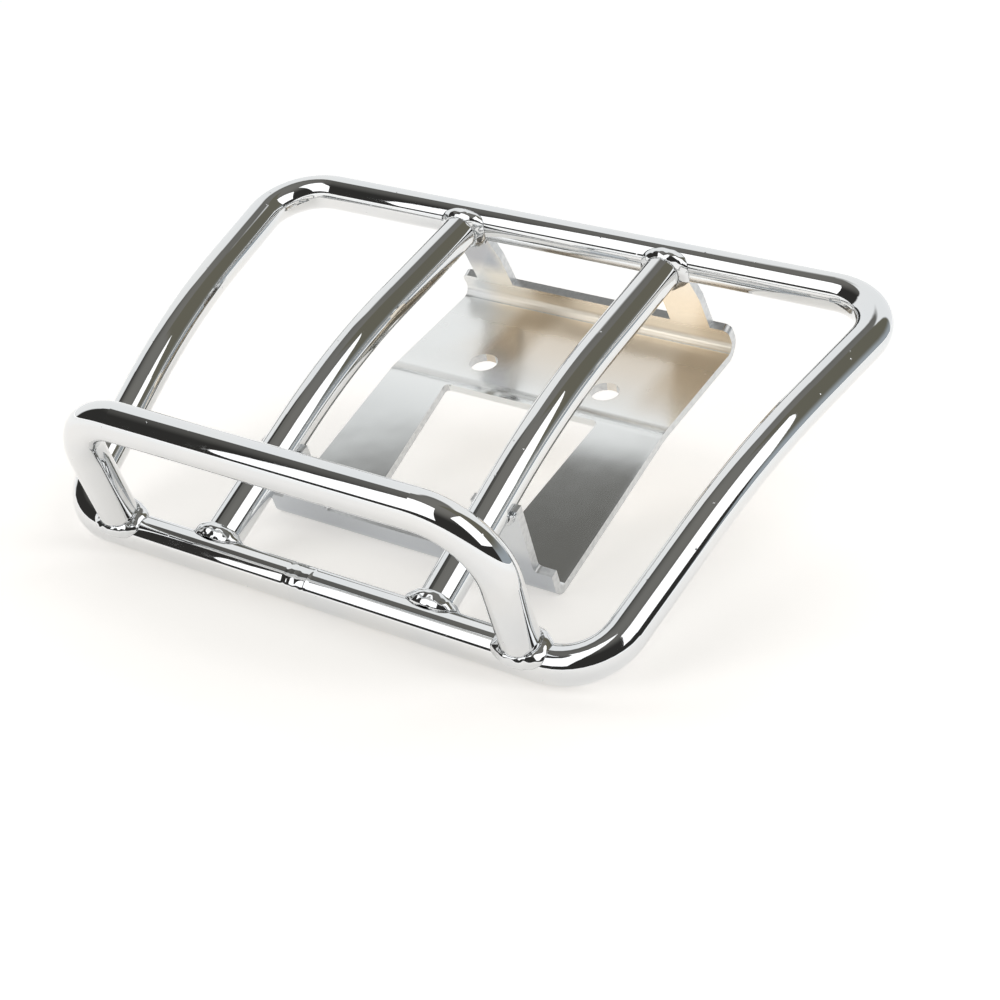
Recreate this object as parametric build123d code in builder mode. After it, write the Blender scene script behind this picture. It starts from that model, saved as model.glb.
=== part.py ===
from build123d import *
from math import asin, cos, degrees, radians, sin, sqrt, tan
import os

os.makedirs("parts", exist_ok=True)

# Tube stock. Every tube of the rack is cut from the same size.
tube_diameter = 12.0
tube_wall = 1.5

# Carrying hoop: wider at the far bar, both rails bent once in side view.
near_bar_width = 188.0
far_bar_width = 236.0
rail_run = 80.4
near_slope = 36.6
far_slope = 22.4
rail_bend_radius = 240.0
hoop_corner_radius = 18.5
butt_offset = -6.0
butt_weld_width = 2.6

# Slats, side by side about the middle.
slat_spacing = 78.0

# Stop hoop, standing on the near bar and leaning outwards.
stop_width = 145.0
stop_height = 53.0
stop_lean = 28.7
stop_corner_radius = 21.0

# Mounting bracket, one folded sheet.
sheet = 3.0
bracket_width = 106.5
bracket_setback = 53.4
front_plate_slope = 27.9
front_plate_length = 69.5
rear_plate_slope = 18.9
rear_plate_length = 51.1
front_fold_radius = 2.0
plate_bend_radius = 40.0
rear_fold_radius = 3.0

# Front flange of the bracket: a low strip with two ears.
front_strip_height = 8.0
ear_width = 16.0
ear_drop = 0.3
ear_root_radius = 1.5

# Rear flange of the bracket: a low strip with two tabs, each narrowed where it meets the far bar.
rear_strip_height = 10.0
strip_corner_radius = 2.5
tab_width = 15.0
tab_top_width = 10.0
tab_shoulder = 25.0
tab_forward = 3.5

# Window and bolt holes in the bracket's plates.
window_front_edge = 14.0
window_rear_edge = 67.3
window_front_width = 50.5
window_rear_width = 60.0
window_corner_radius = 1.5
bolt_spacing = 48.0
bolt_hole_diameter = 10.0
bolt_setback = 13.2

# Welding: root gap of the joints, and bead sizes.
root_gap = 0.05
slat_bead_climb = 2.2
stop_bead_climb = 1.4
bead_reach = 3.4
bead_belly = 1.3
bead_belly_height = 5.0
bead_skirt_height = 2.0
ear_bead_radius = 1.6
ear_seam_angle = 160.0
tab_bead_radius = 2.0

tube_radius = tube_diameter / 2
bore_radius = tube_radius - tube_wall
clear_radius = tube_radius + root_gap
slat_x = slat_spacing / 2
stop_x = stop_width / 2
across = Vector(1, 0, 0)


def rising(angle):
    """Unit vector in the side view, turned up from the level by an angle in degrees."""
    return Vector(0, cos(radians(angle)), sin(radians(angle)))


def at(x, point):
    """The side view point moved to a place across the rack."""
    return Vector(x, point.Y, point.Z)


# Side view of the tubes, from the near bar's axis with its underside on the table.
near_rise = rising(near_slope)
far_rise = rising(far_slope)
stop_rise = rising(90 + stop_lean)
near_bar = Vector(0, 0, tube_radius)
rail_bend = near_bar + near_rise * rail_run
far_bar = rail_bend + far_rise * rail_run
stop_top = near_bar + stop_rise * stop_height

# Side view of the bracket's inner face. Its front fold rests on the table.
front_plate_run = rising(front_plate_slope)
front_plate_up = rising(front_plate_slope + 90)
rear_plate_run = rising(rear_plate_slope)
rear_plate_up = rising(rear_plate_slope + 90)
front_fold_centre = Vector(0, bracket_setback, front_fold_radius + sheet)
front_fold = front_fold_centre - (front_plate_run + front_plate_up) * front_fold_radius
plate_bend = front_fold + front_plate_run * front_plate_length
rear_fold = plate_bend + rear_plate_run * rear_plate_length

# The rear flange is folded until its inner face passes a little in front of the far bar's axis.
fold_to_bar = far_bar - rear_fold
aim_slope = Vector(0, 1, 0).get_angle(fold_to_bar)
rear_flange_slope = aim_slope + degrees(asin(tab_forward / fold_to_bar.length))
rear_flange_up = rising(rear_flange_slope)
rear_flange_length = sqrt(fold_to_bar.length**2 - tab_forward**2)
rear_fold_half_angle = (180 - (rear_flange_slope - rear_plate_slope)) / 2
rear_fold_bisector = rising(rear_flange_slope + rear_fold_half_angle)
rear_fold_centre = rear_fold + rear_fold_bisector * (rear_fold_radius / sin(radians(rear_fold_half_angle)))

# The frame's origin lies on the table under the middle of the rack's box.
front_reach = stop_top.Y - tube_radius
rear_reach = rear_fold_centre.Y + rear_fold_radius + sheet
to_frame = Vector(0, -(front_reach + rear_reach) / 2, 0)
near_bar += to_frame
rail_bend += to_frame
far_bar += to_frame
stop_top += to_frame
front_fold += to_frame
plate_bend += to_frame
rear_fold += to_frame

# The ears reach up the sides of the slats from the front flange.
ear_reach = (near_bar - front_fold).dot(front_plate_run) / cos(radians(near_slope - front_plate_slope))
slat_at_ear = near_bar - near_rise * ear_reach
slat_above_fold = (slat_at_ear - front_fold).dot(front_plate_up)
ear_height = slat_above_fold - ear_drop

# Carrying hoop: one bent tube, its two ends meeting at the butt weld.
butt_right = butt_offset + butt_weld_width / 2
butt_left = butt_offset - butt_weld_width / 2
rail_bend_width = (near_bar_width + far_bar_width) / 2
hoop_corners = [
    at(butt_right, near_bar),
    at(near_bar_width / 2, near_bar),
    at(rail_bend_width / 2, rail_bend),
    at(far_bar_width / 2, far_bar),
    at(-far_bar_width / 2, far_bar),
    at(-rail_bend_width / 2, rail_bend),
    at(-near_bar_width / 2, near_bar),
    at(butt_left, near_bar),
]
half_hoop_radii = [hoop_corner_radius, rail_bend_radius, hoop_corner_radius]
with BuildPart() as hoop:
    with BuildLine() as hoop_line:
        FilletPolyline(*hoop_corners, radius=half_hoop_radii + half_hoop_radii)
    with BuildSketch(Plane(hoop_line.line @ 0, z_dir=hoop_line.line % 0)):
        Circle(tube_radius)
        Circle(bore_radius, mode=Mode.SUBTRACT)
    sweep()
hoop.part.label = "carrying_hoop"
export_step(hoop.part, "parts/carrying_hoop.step")

# The hoop's outside as a solid ends the weld beads that lie on it.
with BuildPart() as hoop_outside:
    with BuildSketch(Plane(hoop_line.line @ 0, z_dir=hoop_line.line % 0)):
        Circle(tube_radius)
    sweep(path=hoop_line.line)

# Butt weld: fills the joint of the hoop's ends, dressed flush.
with BuildPart() as butt_weld:
    with Locations(Location(at(butt_offset, near_bar), (0, 90, 0))):
        Cylinder(tube_radius, butt_weld_width)
        Cylinder(bore_radius, butt_weld_width, mode=Mode.SUBTRACT)
butt_weld.part.label = "hoop_butt_weld"
export_step(butt_weld.part, "parts/hoop_butt_weld.step")

# Stop hoop: a bent tube, both feet cut square and stood on the near bar.
stop_foot = near_bar + stop_rise * clear_radius
with BuildPart() as stop_hoop:
    with BuildLine() as stop_line:
        FilletPolyline(
            at(stop_x, stop_foot),
            at(stop_x, stop_top),
            at(-stop_x, stop_top),
            at(-stop_x, stop_foot),
            radius=stop_corner_radius,
        )
    with BuildSketch(Plane(stop_line.line @ 0, z_dir=stop_line.line % 0)):
        Circle(tube_radius)
        Circle(bore_radius, mode=Mode.SUBTRACT)
    sweep()
stop_hoop.part.label = "stop_hoop"
export_step(stop_hoop.part, "parts/stop_hoop.step")

# Slats: bent like the rails, both ends cut square and set against the bars.
slat_near_end = near_bar + near_rise * clear_radius
slat_far_end = far_bar - far_rise * clear_radius
with BuildPart() as left_slat:
    with BuildLine() as slat_line:
        FilletPolyline(
            at(-slat_x, slat_near_end),
            at(-slat_x, rail_bend),
            at(-slat_x, slat_far_end),
            radius=rail_bend_radius,
        )
    with BuildSketch(Plane(slat_line.line @ 0, z_dir=slat_line.line % 0)):
        Circle(tube_radius)
        Circle(bore_radius, mode=Mode.SUBTRACT)
    sweep()
left_slat.part.label = "left_slat"
export_step(left_slat.part, "parts/left_slat.step")

with BuildPart() as right_slat:
    mirror(left_slat.part, about=Plane.YZ)
right_slat.part.label = "right_slat"
export_step(right_slat.part, "parts/right_slat.step")

# Mounting bracket: the sheet's side profile drawn along its inner face, then cut to its outline.
front_flange_plane = Plane(front_fold, x_dir=across, z_dir=-front_plate_run)
front_plate_plane = Plane(front_fold, x_dir=across, z_dir=front_plate_up)
bolt_plane = Plane(plate_bend + rear_plate_run * bolt_setback, x_dir=across, z_dir=rear_plate_up)
rear_flange_plane = Plane(rear_fold, x_dir=across, z_dir=across.cross(rear_flange_up))
ear_tip = front_fold + front_plate_up * ear_height
tab_tip = rear_fold + rear_flange_up * rear_flange_length
cut_depth = 2 * sheet
with BuildPart() as bracket:
    with BuildSketch(Plane.YZ):
        with BuildLine():
            FilletPolyline(
                (ear_tip.Y, ear_tip.Z),
                (front_fold.Y, front_fold.Z),
                (plate_bend.Y, plate_bend.Z),
                (rear_fold.Y, rear_fold.Z),
                (tab_tip.Y, tab_tip.Z),
                radius=[front_fold_radius, plate_bend_radius, rear_fold_radius],
            )
            offset(amount=sheet, side=Side.RIGHT)
        make_face()
    extrude(amount=bracket_width / 2, both=True)

    # Front flange: everything above the strip goes, except the two ears.
    with BuildSketch(front_flange_plane):
        with Locations((0, front_strip_height)):
            Rectangle(2 * bracket_width, ear_height, align=(Align.CENTER, Align.MIN))
        with Locations((-slat_x, front_strip_height), (slat_x, front_strip_height)):
            Rectangle(ear_width, 2 * ear_height, align=(Align.CENTER, Align.MIN), mode=Mode.SUBTRACT)
        fillet(vertices().group_by(Axis.Y)[0], ear_root_radius)
    extrude(amount=cut_depth, both=True, mode=Mode.SUBTRACT)

    # Rear flange: everything above the rounded strip goes, except the two tabs.
    with BuildSketch(rear_flange_plane):
        with Locations((0, rear_strip_height / 2)):
            Rectangle(2 * bracket_width, 2 * rear_flange_length, align=(Align.CENTER, Align.MIN))
        RectangleRounded(bracket_width, 2 * rear_strip_height, strip_corner_radius, mode=Mode.SUBTRACT)
        for side in (-slat_x, slat_x):
            with BuildLine():
                Polyline(
                    (side - tab_width / 2, 0),
                    (side - tab_width / 2, tab_shoulder),
                    (side - tab_top_width / 2, rear_flange_length),
                    (side + tab_top_width / 2, rear_flange_length),
                    (side + tab_width / 2, tab_shoulder),
                    (side + tab_width / 2, 0),
                    close=True,
                )
            make_face(mode=Mode.SUBTRACT)
    extrude(amount=cut_depth, both=True, mode=Mode.SUBTRACT)

    # Window in the front plate, wider towards the bolts.
    with BuildSketch(front_plate_plane):
        Polygon(
            (-window_front_width / 2, window_front_edge),
            (window_front_width / 2, window_front_edge),
            (window_rear_width / 2, window_rear_edge),
            (-window_rear_width / 2, window_rear_edge),
            align=None,
        )
        fillet(vertices(), window_corner_radius)
    extrude(amount=cut_depth, both=True, mode=Mode.SUBTRACT)

    # Bolt holes in the rear plate.
    with Locations(bolt_plane):
        with GridLocations(bolt_spacing, bolt_spacing, 2, 1):
            Hole(bolt_hole_diameter / 2)

    # Saddles of the ears under the slats, and tab ends ground to the far bar.
    saddles = [Plane(at(side, slat_at_ear), x_dir=across, z_dir=near_rise) for side in (-slat_x, slat_x)]
    with Locations(*saddles):
        Cylinder(clear_radius, 2 * ear_height, mode=Mode.SUBTRACT)
    with Locations(Location(far_bar, (0, 90, 0))):
        Cylinder(clear_radius, bracket_width, mode=Mode.SUBTRACT)
bracket.part.label = "mounting_bracket"
export_step(bracket.part, "parts/mounting_bracket.step")

# Ear welds: a bead round the underside of each slat, on the outer face of the front flange.
outer_flange_plane = front_flange_plane.offset(sheet)
outer_reach = sheet / cos(radians(near_slope - front_plate_slope))
slat_at_face = slat_at_ear - near_rise * outer_reach
slat_above_face = (slat_at_face - front_fold).dot(front_plate_up)
with BuildPart() as left_ear_weld:
    with BuildLine(outer_flange_plane) as ear_seam:
        CenterArc((-slat_x, slat_above_face), tube_radius, 270 - ear_seam_angle / 2, ear_seam_angle)
    with BuildSketch(Plane(ear_seam.line @ 0, z_dir=ear_seam.line % 0)):
        Circle(ear_bead_radius)
    sweep()
    split(bisect_by=outer_flange_plane, keep=Keep.TOP)
    with Locations(saddles[0]):
        Cylinder(tube_radius, 2 * ear_height, mode=Mode.SUBTRACT)
left_ear_weld.part.label = "left_ear_weld"
export_step(left_ear_weld.part, "parts/left_ear_weld.step")

with BuildPart() as right_ear_weld:
    mirror(left_ear_weld.part, about=Plane.YZ)
right_ear_weld.part.label = "right_ear_weld"
export_step(right_ear_weld.part, "parts/right_ear_weld.step")

# Tab welds: a straight bead along the inner face of each tab, under the far bar.
tab_seam_height = rear_flange_length - sqrt(tube_radius**2 - tab_forward**2)
with BuildPart() as left_tab_weld:
    with Locations(Location(at(-slat_x, rear_fold + rear_flange_up * tab_seam_height), (0, 90, 0))):
        Cylinder(tab_bead_radius, tab_top_width)
    split(bisect_by=rear_flange_plane, keep=Keep.TOP)
    add(hoop_outside.part, mode=Mode.SUBTRACT)
left_tab_weld.part.label = "left_tab_weld"
export_step(left_tab_weld.part, "parts/left_tab_weld.step")

with BuildPart() as right_tab_weld:
    mirror(left_tab_weld.part, about=Plane.YZ)
right_tab_weld.part.label = "right_tab_weld"
export_step(right_tab_weld.part, "parts/right_tab_weld.step")

# Tube welds: a collar of bead round each square tube end, lofted from the tube down into the bar.
# The collars behind the slats are laid over the tab welds.
skirt_depth = sqrt(tube_radius**2 - bead_skirt_height**2) - root_gap
tube_joints = [
    ("left_slat_near_weld", -slat_x, near_bar, near_rise, slat_bead_climb, []),
    ("right_slat_near_weld", slat_x, near_bar, near_rise, slat_bead_climb, []),
    ("left_slat_far_weld", -slat_x, far_bar, -far_rise, slat_bead_climb, [left_tab_weld]),
    ("right_slat_far_weld", slat_x, far_bar, -far_rise, slat_bead_climb, [right_tab_weld]),
    ("left_stop_weld", -stop_x, near_bar, stop_rise, stop_bead_climb, []),
    ("right_stop_weld", stop_x, near_bar, stop_rise, stop_bead_climb, []),
]
for weld_name, weld_x, bar, branch, climb, laid_over in tube_joints:
    joint = Plane(at(weld_x, bar), x_dir=across, z_dir=branch)
    with BuildPart() as tube_weld:
        with BuildSketch(joint.offset(clear_radius + climb)):
            Circle(clear_radius)
        with BuildSketch(joint.offset(bead_belly_height)):
            Ellipse(tube_radius + bead_reach, tube_radius + bead_belly)
        with BuildSketch(joint.offset(bead_skirt_height)):
            Ellipse(tube_radius + bead_reach, skirt_depth)
        loft()
        add(hoop_outside.part, mode=Mode.SUBTRACT)
        with Locations(Location(joint)):
            Cylinder(
                tube_radius,
                2 * tube_diameter,
                align=(Align.CENTER, Align.CENTER, Align.MIN),
                mode=Mode.SUBTRACT,
            )
        for neighbour in laid_over:
            add(neighbour.part, mode=Mode.SUBTRACT)
    tube_weld.part.label = weld_name
    export_step(tube_weld.part, f"parts/{weld_name}.step")
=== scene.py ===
import bpy
import math
from mathutils import Matrix, Vector


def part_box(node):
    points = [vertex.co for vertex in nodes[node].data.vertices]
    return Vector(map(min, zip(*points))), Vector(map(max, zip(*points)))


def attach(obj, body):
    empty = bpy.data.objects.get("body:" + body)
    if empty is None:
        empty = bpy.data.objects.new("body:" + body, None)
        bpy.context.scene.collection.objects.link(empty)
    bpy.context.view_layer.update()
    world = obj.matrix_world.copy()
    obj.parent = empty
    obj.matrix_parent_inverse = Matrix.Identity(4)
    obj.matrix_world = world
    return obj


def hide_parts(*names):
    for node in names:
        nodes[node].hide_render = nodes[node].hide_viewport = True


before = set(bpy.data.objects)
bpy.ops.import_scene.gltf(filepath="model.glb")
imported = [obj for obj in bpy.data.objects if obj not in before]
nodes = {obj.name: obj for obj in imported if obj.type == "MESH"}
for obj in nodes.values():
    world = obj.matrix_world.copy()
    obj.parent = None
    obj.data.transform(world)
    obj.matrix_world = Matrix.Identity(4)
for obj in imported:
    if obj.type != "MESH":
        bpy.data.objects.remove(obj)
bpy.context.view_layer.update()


# Tubes: the carrying hoop, the stop hoop and the two slats, bent from one size of steel tube.
# They are polished and chrome plated all over. The bender left a faint ripple, the plate has a few specks,
# and the ground joint of the hoop's two ends shows as an uneven band in the near bar.
class Shade:
    """A value, colour or place in one node tree. Arithmetic on values adds Math nodes."""

    def __init__(self, tree, socket=None):
        self.tree = tree
        self.socket = socket

    def node(self, kind, output=0, settings=None, sockets=None):
        """One output of a new node, made with these settings and then these socket values or links."""
        made = self.tree.nodes.new(kind)
        for name, value in (settings or {}).items():
            setattr(made, name, value)
        for name, value in (sockets or {}).items():
            if isinstance(value, Shade):
                self.tree.links.new(value.socket, made.inputs[name])
            else:
                made.inputs[name].default_value = value
        return Shade(self.tree, made.outputs[output])

    def math(self, operation, first, second=0.0):
        return self.node("ShaderNodeMath", 0, {"operation": operation}, {0: first, 1: second})

    def __add__(self, other):
        return self.math("ADD", self, other)

    def __radd__(self, other):
        return self.math("ADD", other, self)

    def __sub__(self, other):
        return self.math("SUBTRACT", self, other)

    def __rsub__(self, other):
        return self.math("SUBTRACT", other, self)

    def __mul__(self, other):
        return self.math("MULTIPLY", self, other)

    def __rmul__(self, other):
        return self.math("MULTIPLY", other, self)

    def __abs__(self):
        return self.math("ABSOLUTE", self)

    def step(self, low, high):
        """0 below low, 1 above high, with a smooth ramp between."""
        return self.node("ShaderNodeMapRange", 0, {"interpolation_type": "SMOOTHSTEP"},
                         {"Value": self, "From Min": low, "From Max": high})

    def blend(self, first, second):
        """First colour where this is 0, second where it is 1."""
        return self.node("ShaderNodeMix", 2, {"data_type": "RGBA"}, {0: self, 6: first, 7: second})

    def axis(self, letter):
        """One coordinate of a place."""
        return self.node("ShaderNodeSeparateXYZ", letter, None, {0: self})

    def noise(self, scale, detail=2.0):
        """Soft random values at a place, with about this many lumps to a metre."""
        return self.node("ShaderNodeTexNoise", "Fac", None,
                         {"Vector": self, "Scale": scale, "Detail": detail})

    def bump(self):
        """A normal from this height, which is in millimetres."""
        return self.node("ShaderNodeBump", "Normal", None, {"Distance": 0.001, "Height": self})


def plating(name):
    """A new metal material: itself, its shader, and the place on the piece that patterns are drawn from."""
    material = bpy.data.materials.new(name)
    material.use_nodes = True
    shader = material.node_tree.nodes["Principled BSDF"]
    shader.inputs["Metallic"].default_value = 1.0
    place = Shade(material.node_tree).node("ShaderNodeTexCoord", "Object")
    return material, shader, place


def feed(shader, **inputs):
    """Link each value to the shader input of that name."""
    for name, value in inputs.items():
        value.tree.links.new(value.socket, shader.inputs[name.replace("_", " ")])


def dress(material, *names):
    """Put one material on these nodes of the model."""
    for name in names:
        nodes[name].data.materials.clear()
        nodes[name].data.materials.append(material)


tube_grey = (0.77, 0.775, 0.775, 1)
tube_blue = (0.735, 0.75, 0.765, 1)
tube_polish = 0.02
haze_roughness = 0.05
speck_roughness = 0.35
speck_height = 0.06
ripple_height = 0.05
grinding_height = 0.35
bead_edge_height = 0.06

# Places along the near bar, counted from the middle of the butt weld, and how far up the bar they reach.
ground_middle = 0.0025
ground_half_width = (0.0030, 0.0048)
bead_edge_middle = 0.0062
bead_edge_half_width = (0.0, 0.0006)
butt_low, butt_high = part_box("hoop_butt_weld")
butt_x = (butt_low[0] + butt_high[0]) / 2
near_bar_top = (butt_high[2], butt_high[2] + 0.002)

tube_chrome, tube_shader, tube_place = plating("tube_chrome")
tube_cloud = tube_place.noise(28.0).step(0.35, 0.7)
tube_colour = tube_cloud.blend(tube_grey, tube_blue)
tube_haze = tube_place.noise(160.0, 4.0).step(0.45, 0.8)
tube_cells = tube_place.node("ShaderNodeTexVoronoi", "Distance", None,
                             {"Vector": tube_place, "Scale": 190.0})
tube_specks = (1 - tube_cells.step(0.02, 0.09)) * tube_place.noise(45.0).step(0.42, 0.55)
from_butt = tube_place.axis("X") - butt_x
near_bar_only = 1 - tube_place.axis("Z").step(*near_bar_top)
ground_zone = 1 - abs(from_butt - ground_middle).step(*ground_half_width)
grinding = grinding_height * ground_zone * tube_place.noise(230.0, 1.0)
bead_edge = 1 - abs(from_butt - bead_edge_middle).step(*bead_edge_half_width)
butt_marks = near_bar_only * (grinding + bead_edge_height * bead_edge)
tube_height = ripple_height * tube_place.noise(60.0, 1.0) + speck_height * tube_specks + butt_marks
tube_rough = tube_polish + haze_roughness * tube_haze + speck_roughness * tube_specks
feed(tube_shader, Base_Color=tube_colour, Roughness=tube_rough, Normal=tube_height.bump())
dress(tube_chrome, "carrying_hoop", "stop_hoop", "left_slat", "right_slat", "hoop_butt_weld")


# Mounting bracket: one steel sheet, blanked, pierced and folded, welded under the slats and the far bar.
# It was plated without polishing, so it is satin and a little wavy. The plate is bluish on the front
# flange,
# grey on the front plate, and stained warm towards the rear flange. Painted light sits in its colour too:
# painted shade and painted reflections darken the left tab, the low strip of the front flange and two marks
# on the rear plate below the tabs, and painted sheen lightens the rear plate and the rear flange.
front_plate_grey = (0.72, 0.735, 0.735, 1)
# Painted sheen: the rear plate is a lighter grey than the front plate of the same sheet.
rear_plate_sheen_grey = (0.84, 0.85, 0.845, 1)
warm_stain = (0.79, 0.72, 0.63, 1)
# Painted reflection: a brown patch in the rear plate's right corner, below the right tab.
corner_painted_reflection = (0.62, 0.53, 0.42, 1)
# Painted reflection: a brown streak on the rear plate, standing for the tabs mirrored in it.
streak_painted_reflection = (0.60, 0.515, 0.41, 1)
# Partly the plating's warm tint, partly painted highlight: the rear flange and right tab are painted
# near-white cream.
flange_cream_sheen = (0.96, 0.89, 0.77, 1)
# Painted reflection of the slat's dark underside: the left tab is painted darker and bluish.
left_tab_reflection_blue = (0.54, 0.55, 0.575, 1)
# Painted shade: the low strip of the front flange is a darker blue than its ears.
strip_painted_shade_blue = (0.56, 0.585, 0.615, 1)
ear_blue = (0.69, 0.71, 0.725, 1)

# Where each colour starts and where it is whole, across, along and up the bracket.
rear_plate_y = (0.030, 0.055)
warm_x = (-0.035, 0.005)
warm_y = (0.046, 0.078)
warm_wander = 0.03
corner_x = (0.032, 0.042)
streak_left_x = (-0.032, -0.024)
streak_right_x = (-0.018, -0.009)
streak_y = (0.056, 0.070)
cream_x = (-0.048, -0.036)
cream_z = (0.048, 0.053)
left_tab_right_x = (-0.036, -0.028)
left_tab_z = (0.061, 0.069)
ear_z = (0.010, 0.017)
behind_front_flange_y = (-0.016, -0.012)

# Heights of the bump in millimetres. The sheet eases into the bend between its plates, and the rear flange
# stands more upright than its solid, by flange_lean for each metre above its foot.
wave_height = 0.05
bend_depth = 0.44
bend_y = (0.024, 0.056)
flange_lean = 230.0
flange_foot = 0.0514
flange_z = (0.0510, 0.0520)

# The satin is finest on the front plate, rougher on the rear plate and in its fold, and finer up the tabs.
front_satin = 0.09
rear_satin = 0.17
rear_satin_y = (0.045, 0.062)
fold_satin = 0.08
fold_z = (0.046, 0.050)
tab_polish = 0.16
tab_z = (0.055, 0.061)
grain_satin = 0.02

sheet_chrome, sheet_shader, sheet_place = plating("sheet_chrome")
sheet_x, sheet_y, sheet_z = (sheet_place.axis(letter) for letter in "XYZ")
warm = sheet_y.step(*warm_y) * (sheet_x + warm_wander * sheet_place.noise(30.0)).step(*warm_x)
# Painted reflection: the brown patch in the rear plate's right corner.
corner_reflection_mask = warm * sheet_x.step(*corner_x)
# Painted reflection: the brown streak on the rear plate beside the left tab.
streak_reflection_mask = sheet_y.step(*streak_y) * sheet_x.step(*streak_left_x) * (1 - sheet_x.step(*streak_right_x))
# Painted highlight with a warm tint on the rear flange and right tab.
cream_sheen_mask = sheet_z.step(*cream_z) * sheet_x.step(*cream_x)
# Painted reflection: where the left tab is painted darker and bluish.
left_tab_reflection = sheet_z.step(*left_tab_z) * (1 - sheet_x.step(*left_tab_right_x))
# Painted sheen: the rear plate is lighter than the front plate.
sheet_colour = sheet_y.step(*rear_plate_y).blend(front_plate_grey, rear_plate_sheen_grey)
sheet_colour = warm.blend(sheet_colour, warm_stain)
sheet_colour = corner_reflection_mask.blend(sheet_colour, corner_painted_reflection)
sheet_colour = streak_reflection_mask.blend(sheet_colour, streak_painted_reflection)
sheet_colour = cream_sheen_mask.blend(sheet_colour, flange_cream_sheen)
sheet_colour = left_tab_reflection.blend(sheet_colour, left_tab_reflection_blue)
# Painted shade: the front flange darker along its low strip, lighter up its ears.
front_flange_shaded_colour = sheet_z.step(*ear_z).blend(strip_painted_shade_blue, ear_blue)
sheet_colour = sheet_y.step(*behind_front_flange_y).blend(front_flange_shaded_colour, sheet_colour)
bend_rise = sheet_y.step(*bend_y)
flange_rise = (sheet_z - flange_foot) * sheet_z.step(*flange_z)
sheet_height = wave_height * sheet_place.noise(40.0) - bend_depth * bend_rise * bend_rise
sheet_height = sheet_height - flange_lean * flange_rise
sheet_rough = front_satin + rear_satin * sheet_y.step(*rear_satin_y) + fold_satin * sheet_z.step(*fold_z)
sheet_rough = sheet_rough - tab_polish * sheet_z.step(*tab_z) + grain_satin * sheet_place.noise(220.0, 4.0)
feed(sheet_shader, Base_Color=sheet_colour, Roughness=sheet_rough, Normal=sheet_height.bump())
dress(sheet_chrome, "mounting_bracket")

# Its sheared edges keep a torn grain under the plating, and are duller: the faces that look sideways,
# the top of the rear flange and the top of the front flange.
sheared_light = (0.71, 0.72, 0.725, 1)
sheared_dark = (0.63, 0.64, 0.65, 1)
sheared_satin = 0.32
torn_satin = 0.12
torn_height = 0.02
front_flange_back = -0.015
rear_flange_slope = math.radians(130.2)
rear_flange_up = Vector((0, math.cos(rear_flange_slope), math.sin(rear_flange_slope)))
sheared_chrome, sheared_shader, sheared_place = plating("sheared_chrome")
torn = sheared_place.noise(700.0, 3.0)
sheared_colour = torn.step(0.4, 0.65).blend(sheared_light, sheared_dark)
sheared_rough = sheared_satin + torn_satin * torn
sheared_height = torn_height * sheared_place.noise(300.0, 1.0)
feed(sheared_shader, Base_Color=sheared_colour, Roughness=sheared_rough, Normal=sheared_height.bump())
bracket_mesh = nodes["mounting_bracket"].data
bracket_mesh.materials.append(sheared_chrome)
for face in bracket_mesh.polygons:
    sideways = abs(face.normal.x) > 0.3
    rear_top = face.normal.dot(rear_flange_up) > 0.99
    front_top = face.center.y < front_flange_back and face.normal.z > 0.5
    if sideways or rear_top or front_top:
        face.material_index = 1


# Weld beads: run by hand round each tube end and along the ears and tabs of the bracket.
# They were left as laid and plated with the rest, so the lumps shine.
weld_grey = (0.78, 0.79, 0.795, 1)
weld_blue = (0.71, 0.725, 0.74, 1)
weld_polish = 0.03
weld_haze = 0.06
weld_grain = 0.012
weld_chrome, weld_shader, weld_place = plating("weld_chrome")
weld_cloud = weld_place.noise(300.0)
weld_colour = weld_cloud.blend(weld_grey, weld_blue)
weld_rough = weld_polish + weld_haze * weld_cloud
weld_height = weld_grain * weld_place.noise(900.0, 1.0)
feed(weld_shader, Base_Color=weld_colour, Roughness=weld_rough, Normal=weld_height.bump())

bead_voxel = 0.0002
collar_lump_size = 0.0040
collar_lump_height = 0.0009
seam_lump_size = 0.0024
seam_lump_height = 0.0010


def lay_bead(node_name, lump_size, lump_height):
    """A copy of a weld node with the lumps of a hand-laid bead, standing for the node."""
    bpy.ops.object.select_all(action="DESELECT")
    bead = nodes[node_name].copy()
    bead.data = nodes[node_name].data.copy()
    bead.name = node_name + "_bead"
    bead.parent = None
    bead.matrix_world = Matrix.Identity(4)
    bpy.context.scene.collection.objects.link(bead)
    bead.select_set(True)
    bpy.context.view_layer.objects.active = bead
    bpy.ops.object.mode_set(mode="EDIT")
    bpy.ops.mesh.select_all(action="SELECT")
    bpy.ops.mesh.remove_doubles(threshold=1e-6)
    bpy.ops.object.mode_set(mode="OBJECT")
    even = bead.modifiers.new("even", "REMESH")
    even.mode = "VOXEL"
    even.voxel_size = bead_voxel
    bpy.ops.object.modifier_apply(modifier="even")
    lumps = bpy.data.textures.new(node_name + "_lumps", "CLOUDS")
    lumps.noise_scale = lump_size
    lumps.noise_depth = 1
    pour = bead.modifiers.new("pour", "DISPLACE")
    pour.texture = lumps
    pour.texture_coords = "LOCAL"
    pour.strength = lump_height
    pour.mid_level = 0.5
    bpy.ops.object.modifier_apply(modifier="pour")
    flow = bead.modifiers.new("flow", "SMOOTH")
    flow.iterations = 8
    bpy.ops.object.modifier_apply(modifier="flow")
    bpy.ops.object.shade_smooth()
    bead.data.materials.clear()
    bead.data.materials.append(weld_chrome)
    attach(bead, "root")
    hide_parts(node_name)


for side in ("left", "right"):
    for joint in ("stop", "slat_near", "slat_far"):
        lay_bead(f"{side}_{joint}_weld", collar_lump_size, collar_lump_height)
    for joint in ("ear", "tab"):
        lay_bead(f"{side}_{joint}_weld", seam_lump_size, seam_lump_height)


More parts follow.
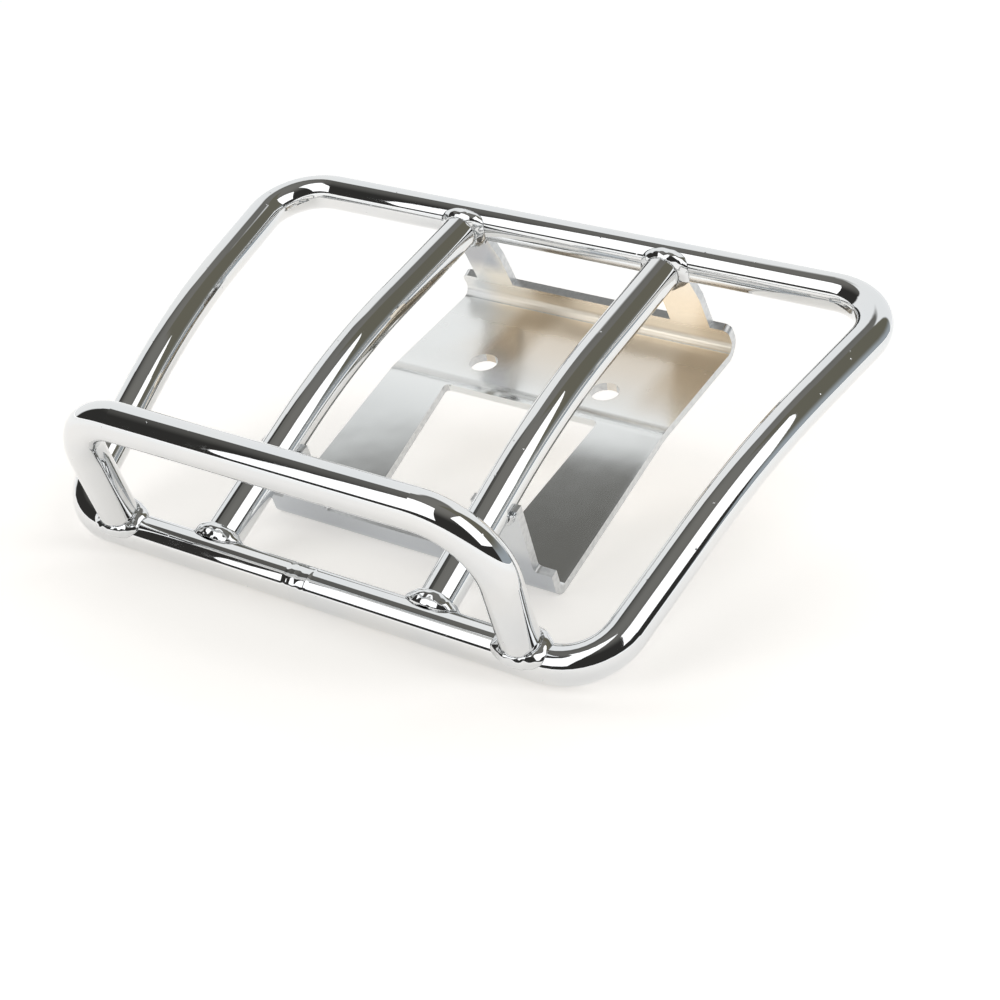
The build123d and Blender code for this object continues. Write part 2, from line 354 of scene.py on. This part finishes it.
# Studio floor: a wide sheet of white paper that takes the rack's soft shadow.
# It glows as much as it needs to run out to white, for the camera and in the chrome alike.
# Its glow is dimmer and warmer under the rack: a painted shadow, which fades out beside it.
floor_size = 40.0
paper_colour = (0.84, 0.825, 0.805, 1)
# Painted shadow: the floor glows less under the rack.
under_rack_shadow_glow = (0.41, 0.40, 0.385, 1)
beside_glow = (0.56, 0.545, 0.53, 1)
open_glow = (0.59, 0.60, 0.605, 1)
no_glow = (0, 0, 0, 1)
white = (1, 1, 1, 1)

# Distances from the middle of the rack over which one glow gives way to the next.
beside_reach = (0.08, 0.16)
open_reach = (0.18, 0.40)
white_reach = (0.8, 3.0)

bpy.ops.object.select_all(action="DESELECT")
bpy.ops.mesh.primitive_plane_add(size=floor_size)
floor = bpy.context.object
floor.name = "floor"
paper = bpy.data.materials.new("paper")
paper.use_nodes = True
paper_shader = paper.node_tree.nodes["Principled BSDF"]
paper_shader.inputs["Base Color"].default_value = paper_colour
paper_shader.inputs["Roughness"].default_value = 0.9
paper_shader.inputs["Emission Strength"].default_value = 1.0
paper_place = Shade(paper.node_tree).node("ShaderNodeTexCoord", "Object")
reach = paper_place.node("ShaderNodeVectorMath", "Value", {"operation": "LENGTH"}, {0: paper_place})
looked_at = paper_place.node("ShaderNodeLightPath", "Is Camera Ray")
looked_at = looked_at + paper_place.node("ShaderNodeLightPath", "Is Glossy Ray")
looked_at = looked_at + paper_place.node("ShaderNodeLightPath", "Is Transmission Ray")
# Painted shadow: the dimmer glow under the rack gives way to the glow beside it.
paper_glow = reach.step(*beside_reach).blend(under_rack_shadow_glow, beside_glow)
paper_glow = reach.step(*open_reach).blend(paper_glow, open_glow)
paper_glow = reach.step(*white_reach).blend(paper_glow, white)
paper_glow = looked_at.step(0.0, 1.0).blend(no_glow, paper_glow)
feed(paper_shader, Emission_Color=paper_glow)
floor.data.materials.append(paper)


# Studio surroundings: a white sweep behind and to the left, a dull olive wall to the right,
# a grey ceiling, and a dark room in front.
dark_room = (0.035, 0.034, 0.032, 1)
grey_ceiling = (0.205, 0.20, 0.185, 1)
ceiling_rise = (0.6, 1.02)
wall_foot = (0.38, 0.42, 0.45, 1)
wall_olive = (0.155, 0.148, 0.115, 1)
wall_rise = (0.12, 0.5)
wall_left = 25.0
wall_right = 75.0
wall_softness = 0.03
sweep_white = (0.99, 1.0, 1.0, 1)
sweep_left = -92.0
sweep_left_softness = 0.04
sweep_side_lean = (-0.31, 0.89, -0.336)
sweep_side_edge = (-0.008, 0.028)
sweep_top_lean = (-0.093, 0.235, 1.0)
sweep_top_edge = (0.965, 1.0)

world = bpy.data.worlds.new("studio")
bpy.context.scene.world = world
world.use_nodes = True
way = Shade(world.node_tree).node("ShaderNodeTexCoord", "Generated")


def along(direction):
    """How far a look goes along a direction."""
    return way.node("ShaderNodeVectorMath", "Value", {"operation": "DOT_PRODUCT"}, {0: way, 1: direction})


def past(degrees, softness):
    """1 clockwise of a bearing, 0 on its other side. Bearings count clockwise from straight behind."""
    angle = math.radians(degrees)
    return along((math.cos(angle), -math.sin(angle), 0.0)).step(-softness, softness)


rise = along((0, 0, 1))
room = rise.step(*ceiling_rise).blend(dark_room, grey_ceiling)
wall = past(wall_left, wall_softness) * (1 - past(wall_right, wall_softness))
wall_paint = rise.step(*wall_rise).blend(wall_foot, wall_olive)
room = wall.blend(room, wall_paint)
sweep_side = past(sweep_left, sweep_left_softness) * along(sweep_side_lean).step(*sweep_side_edge)
sweep_top = 1 - along(sweep_top_lean).step(*sweep_top_edge)
sweep = sweep_side * (1 - past(wall_left, wall_softness)) * sweep_top
room = sweep.blend(room, sweep_white)
feed(world.node_tree.nodes["Background"], Color=room)


# Softboxes: one to the right and a taller one in front, both high and a little askew on their stands.
# Each is a cloth panel that glows evenly, and shows as white stripes along the tubes.
panel_strength = 1.5
rack_middle = Vector((0, 0, 0.045))


def softbox(name, bearing, rise, distance, roll, corners):
    """A glowing panel that faces the rack.

    It stands at a bearing, clockwise from straight behind, and at an angle above the floor.
    Its corners are counted from its middle, seen from the rack.
    """
    turn, tilt, skew = (math.radians(angle) for angle in (bearing, rise, roll))
    out = Vector((math.cos(tilt) * math.sin(turn), math.cos(tilt) * math.cos(turn), math.sin(tilt)))
    up = Vector((-math.sin(tilt) * math.sin(turn), -math.sin(tilt) * math.cos(turn), math.cos(tilt)))
    right = out.cross(up)
    side = right * math.cos(skew) + up * math.sin(skew)
    top = up * math.cos(skew) - right * math.sin(skew)
    bpy.ops.object.select_all(action="DESELECT")
    bpy.ops.mesh.primitive_plane_add(size=2)
    panel = bpy.context.object
    panel.name = name
    for vertex, (across, upward) in zip(panel.data.vertices, corners):
        vertex.co = out * distance + rack_middle + side * across + top * upward
    cloth = bpy.data.materials.new(name + "_cloth")
    cloth.use_nodes = True
    cloth_shader = cloth.node_tree.nodes["Principled BSDF"]
    cloth_shader.inputs["Base Color"].default_value = (0, 0, 0, 1)
    cloth_shader.inputs["Emission Color"].default_value = white
    cloth_shader.inputs["Emission Strength"].default_value = panel_strength
    panel.data.materials.append(cloth)


softbox("right_softbox", bearing=100.5, rise=41.6, distance=1.74, roll=-13.0,
        corners=[(-0.64, -0.73), (0.60, -0.73), (-0.64, 0.73), (0.60, 0.73)])
softbox("front_softbox", bearing=198.6, rise=36.7, distance=2.03, roll=-12.0,
        corners=[(-0.70, -0.92), (0.92, -0.92), (-0.70, 1.10), (0.56, 1.10)])


# Camera: in front of the rack and to its right, a little above it, at the photograph's viewing angle.
# The shift is what the photograph's framing needs.
camera_data = bpy.data.cameras.new("camera")
camera = bpy.data.objects.new("camera", camera_data)
bpy.context.scene.collection.objects.link(camera)
camera.location = (0.30575, -0.47134, 0.24028)
camera.rotation_euler = [math.radians(angle) for angle in (68.580, -2.971, 31.599)]
camera_data.sensor_width = 36.0
camera_data.lens = 68.407
camera_data.shift_x = -0.01997
camera_data.shift_y = -0.01712
camera_data.clip_start = 0.01
bpy.context.scene.camera = camera
bpy.context.scene.view_settings.view_transform = "Standard"
